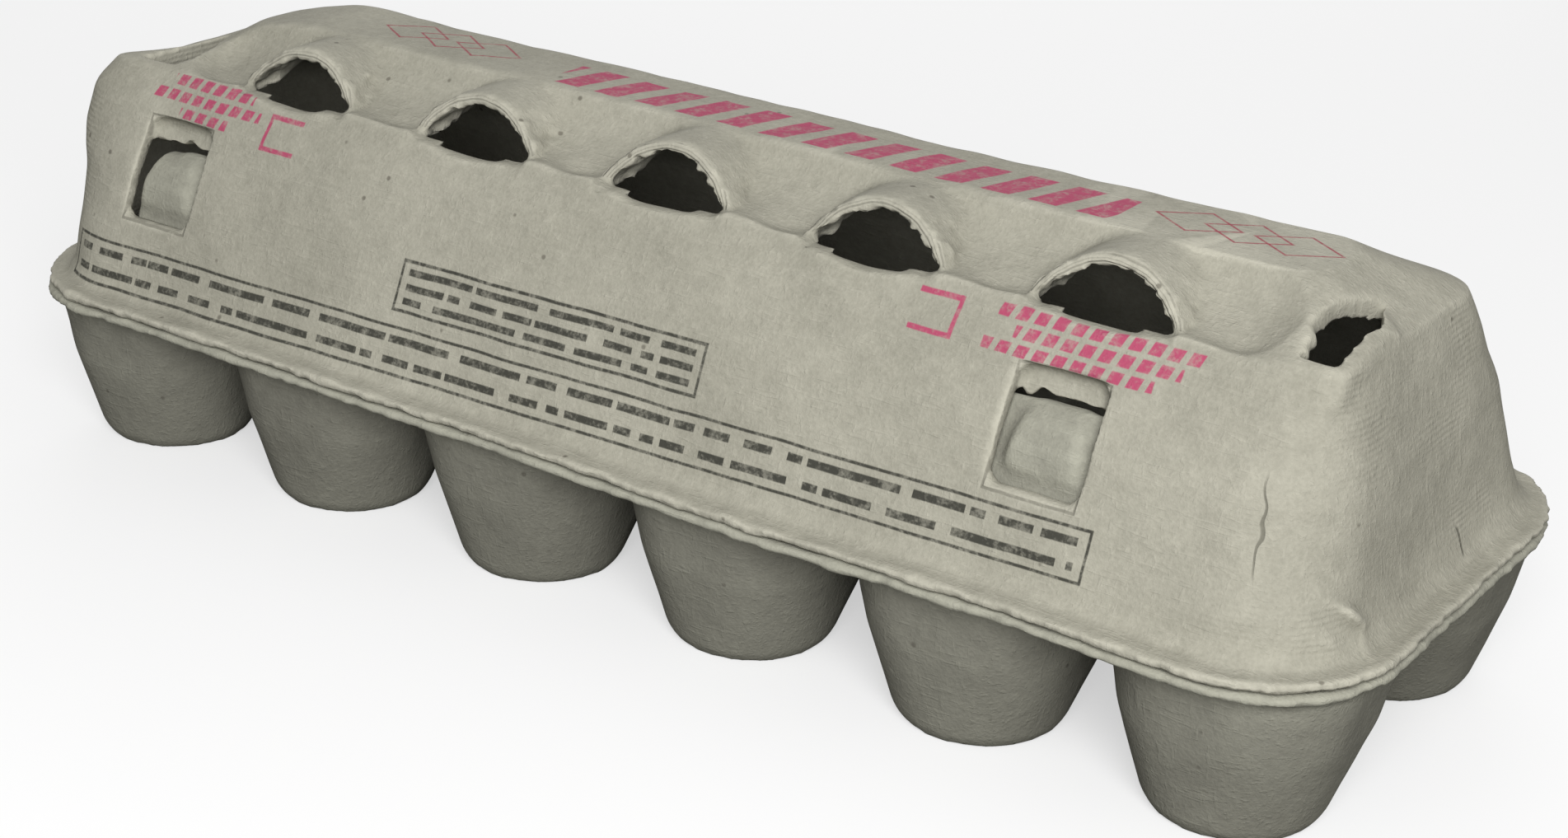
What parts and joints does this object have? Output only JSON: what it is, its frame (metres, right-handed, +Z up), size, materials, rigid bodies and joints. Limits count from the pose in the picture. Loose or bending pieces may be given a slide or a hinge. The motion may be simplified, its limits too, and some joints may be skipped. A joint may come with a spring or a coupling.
{
  "type": "egg carton",
  "caption": "Moulded-pulp egg carton with cups in two rows, a hinged lid with arched vents and a raised ridge, and a front latch flap with buttons in windows.",
  "frame": {"origin": "under the middle of the carton at the level of the cup bottoms", "axes": "+X along the carton, -Y out of the latch side, +Z up"},
  "size_m": [0.2898, 0.1066, 0.0836],
  "materials": {
    "tray_pulp": "matte, fibrous",
    "lid_pulp": "matte, fibrous, with plain printed bars and frames"
  },
  "bodies": {
    "tray": {"tray": "tray_pulp"},
    "lid": {"lid": "lid_pulp"}
  },
  "joints": [
    {"name": "lid_hinge", "type": "hinge", "parent": "tray", "child": "lid", "pos_m": [0, 0.0536, 0.03215], "axis": [-1, 0, 0], "range_deg": [0, 150]}
  ]
}
